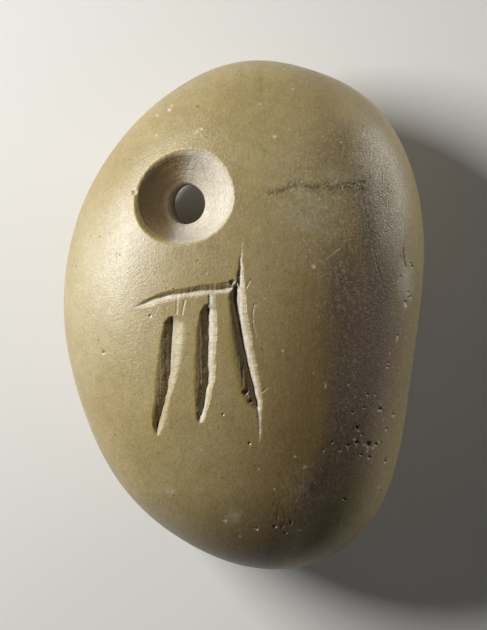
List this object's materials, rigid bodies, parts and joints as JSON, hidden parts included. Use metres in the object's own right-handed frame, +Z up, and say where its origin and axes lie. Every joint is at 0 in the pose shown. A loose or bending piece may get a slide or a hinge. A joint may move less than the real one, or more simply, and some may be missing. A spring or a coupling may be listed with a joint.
{
  "type": "pebble amulet",
  "caption": "Flattened oval stone pebble drilled through near one end so that it hangs on a cord, with a comb-like sign sawn into its front",
  "frame": {"origin": "under the middle of the box, on the plane that the pebble lies on", "axes": "+Z up, out of the engraved front as it lies on its back; +Y along the pebble to the end with the hole; +X to the right as seen from the front"},
  "size_m": [0.0531, 0.075, 0.028],
  "materials": {
    "pebble_stone": "water-worn and handled fine olive stone with a soft sheen; the drilled and sawn surfaces are paler and dull"
  },
  "bodies": {
    "root": {"pebble": "pebble_stone"}
  },
  "joints": []
}
